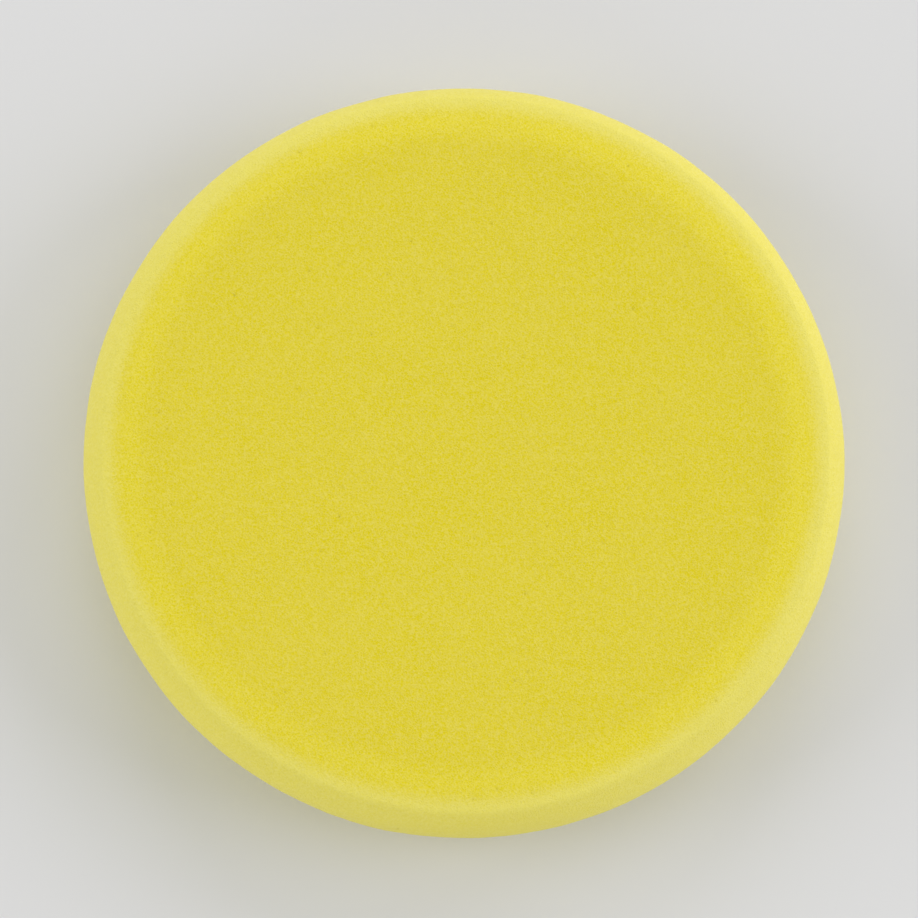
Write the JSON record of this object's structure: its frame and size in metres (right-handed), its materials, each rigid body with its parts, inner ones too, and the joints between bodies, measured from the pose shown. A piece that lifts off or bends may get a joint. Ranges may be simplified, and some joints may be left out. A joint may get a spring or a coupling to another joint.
{
  "type": "polishing pad",
  "caption": "Round soft foam polishing pad with a rounded edge and a hook-and-loop back, for a car polisher.",
  "frame": {"origin": "centre of the loop side, level with the tips of the loops, on which the pad lies", "axes": "+Z along the pad's axis, from the loop side to the polishing face; X and Y are any two directions across the round pad"},
  "size_m": [0.15, 0.15, 0.025],
  "materials": {
    "yellow_foam": "matt",
    "adhesive": "satin",
    "ground_knit": "matt",
    "loop_yarn": "matt"
  },
  "bodies": {
    "root": {"foam_disc": "yellow_foam", "adhesive_film": "adhesive", "ground_fabric": "ground_knit", "loop_pile": "loop_yarn"}
  },
  "joints": []
}
